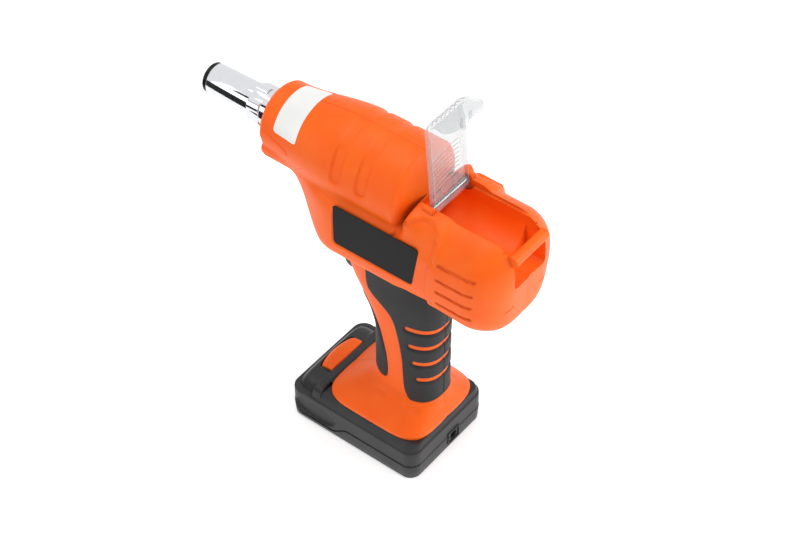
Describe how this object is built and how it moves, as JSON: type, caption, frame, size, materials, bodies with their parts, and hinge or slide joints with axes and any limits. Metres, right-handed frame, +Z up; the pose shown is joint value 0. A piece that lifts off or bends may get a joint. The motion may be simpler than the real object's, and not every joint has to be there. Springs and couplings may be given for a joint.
{
  "type": "cordless riveter",
  "caption": "Battery blind-rivet tool: moulded pistol body with chromed nose, clear hinged mandrel cover, rubber grip, trigger and slide-on battery foot.",
  "frame": {"origin": "centre of the battery's flat underside, which the tool stands on", "axes": "+X forward to the nose tip, +Y to the tool's left, +Z up"},
  "size_m": [0.24, 0.076, 0.2845],
  "materials": {
    "orange_nylon": "satin",
    "black_rubber": "matte",
    "clear_plastic": "polished",
    "chromed_steel": "polished",
    "black_steel": "black oxide",
    "frame_steel": "machined",
    "hard_steel": "ground",
    "spring_steel": "drawn",
    "copper_winding": "varnished",
    "grey_nylon": "fine texture",
    "black_nylon": "satin",
    "circuit_board": "lacquered",
    "cell_sleeve": "shrink sleeve",
    "white_label": "film",
    "black_label": "film"
  },
  "bodies": {
    "root": {"housing_left": "orange_nylon", "housing_right": "orange_nylon", "grip_left": "black_rubber", "grip_right": "black_rubber", "hinge_pin": "spring_steel", "catch_bar": "orange_nylon", "nose_sleeve": "chromed_steel", "nosepiece": "black_steel", "front_frame": "frame_steel", "rear_plate": "frame_steel", "thrust_bearing": "spring_steel", "nut_bearing": "spring_steel", "guide_tube": "spring_steel", "ring_gear": "frame_steel", "motor_can": "frame_steel", "switch_module": "black_nylon", "trigger_spring": "spring_steel", "control_board": "circuit_board", "terminal_block": "black_nylon", "housing_screws": "black_steel", "snout_label": "white_label", "side_label": "black_label"},
    "cover": {"collector_cover": "clear_plastic"},
    "drawbar": {"jaw_case": "hard_steel", "ball_screw": "hard_steel", "torque_pin": "hard_steel", "jaw_spring": "spring_steel"},
    "jaw_set": {"jaws": "hard_steel", "jaw_pusher": "hard_steel"},
    "nut": {"ball_nut": "hard_steel"},
    "carrier": {"pinion": "hard_steel"},
    "planet_one": {"planet_a": "hard_steel"},
    "planet_two": {"planet_b": "hard_steel"},
    "planet_three": {"planet_c": "hard_steel"},
    "rotor": {"motor_rotor": "copper_winding"},
    "trigger_body": {"trigger": "grey_nylon"},
    "battery": {"battery_lower": "grey_nylon", "battery_upper": "grey_nylon", "battery_cells": "cell_sleeve", "charge_socket": "black_nylon", "release_spring": "spring_steel"},
    "release": {"release_button": "orange_nylon"}
  },
  "joints": [
    {"name": "cover_hinge", "type": "hinge", "parent": "root", "child": "cover", "pos_m": [-0.0465, 0, 0.2205], "axis": [0, 1, 0], "range_deg": [-95, 0]},
    {"name": "trigger_slide", "type": "slide", "parent": "root", "child": "trigger_body", "axis": [-1, 0, 0], "range_m": [0, 0.0055], "stiffness_N_per_m": 800, "deforming": ["trigger_spring"]},
    {"name": "drawbar_slide", "type": "slide", "parent": "root", "child": "drawbar", "axis": [-1, 0, 0], "range_m": [0, 0.022]},
    {"name": "nut_spin", "type": "hinge", "parent": "root", "child": "nut", "pos_m": [0.01, 0, 0.215], "axis": [1, 0, 0], "range_deg": [0, 2642]},
    {"name": "carrier_spin", "type": "hinge", "parent": "root", "child": "carrier", "pos_m": [0.01, 0, 0.177], "axis": [1, 0, 0], "range_deg": [-4527.7, 0]},
    {"name": "rotor_spin", "type": "hinge", "parent": "root", "child": "rotor", "pos_m": [-0.04, 0, 0.177], "axis": [1, 0, 0], "range_deg": [-20367.7, 0]},
    {"name": "planet_one_spin", "type": "hinge", "parent": "carrier", "child": "planet_one", "pos_m": [-0.0166, 0, 0.18645], "axis": [1, 0, 0], "range_deg": [0, 12674]},
    {"name": "planet_two_spin", "type": "hinge", "parent": "carrier", "child": "planet_two", "pos_m": [-0.0166, 0.00818, 0.17228], "axis": [1, 0, 0], "range_deg": [0, 12674]},
    {"name": "planet_three_spin", "type": "hinge", "parent": "carrier", "child": "planet_three", "pos_m": [-0.0166, -0.00818, 0.17228], "axis": [1, 0, 0], "range_deg": [0, 12674]},
    {"name": "jaw_slide", "type": "slide", "parent": "drawbar", "child": "jaw_set", "axis": [-1, 0, 0], "range_m": [0, 0.003], "stiffness_N_per_m": 1500, "deforming": ["jaw_spring"]},
    {"name": "battery_slide", "type": "slide", "parent": "root", "child": "battery", "axis": [1, 0, 0], "range_m": [0, 0.09]},
    {"name": "release_press", "type": "slide", "parent": "battery", "child": "release", "axis": [0, 0, -1], "range_m": [0, 0.0025], "stiffness_N_per_m": 1500, "deforming": ["release_spring"]}
  ],
  "couplings": [
    {"joint": "nut_spin", "follows": "drawbar_slide", "rad_per_m": 2094.4},
    {"joint": "carrier_spin", "follows": "drawbar_slide", "rad_per_m": -3590.4},
    {"joint": "rotor_spin", "follows": "drawbar_slide", "rad_per_m": -16157},
    {"joint": "planet_one_spin", "follows": "drawbar_slide", "rad_per_m": 10053},
    {"joint": "planet_two_spin", "follows": "drawbar_slide", "rad_per_m": 10053},
    {"joint": "planet_three_spin", "follows": "drawbar_slide", "rad_per_m": 10053}
  ]
}
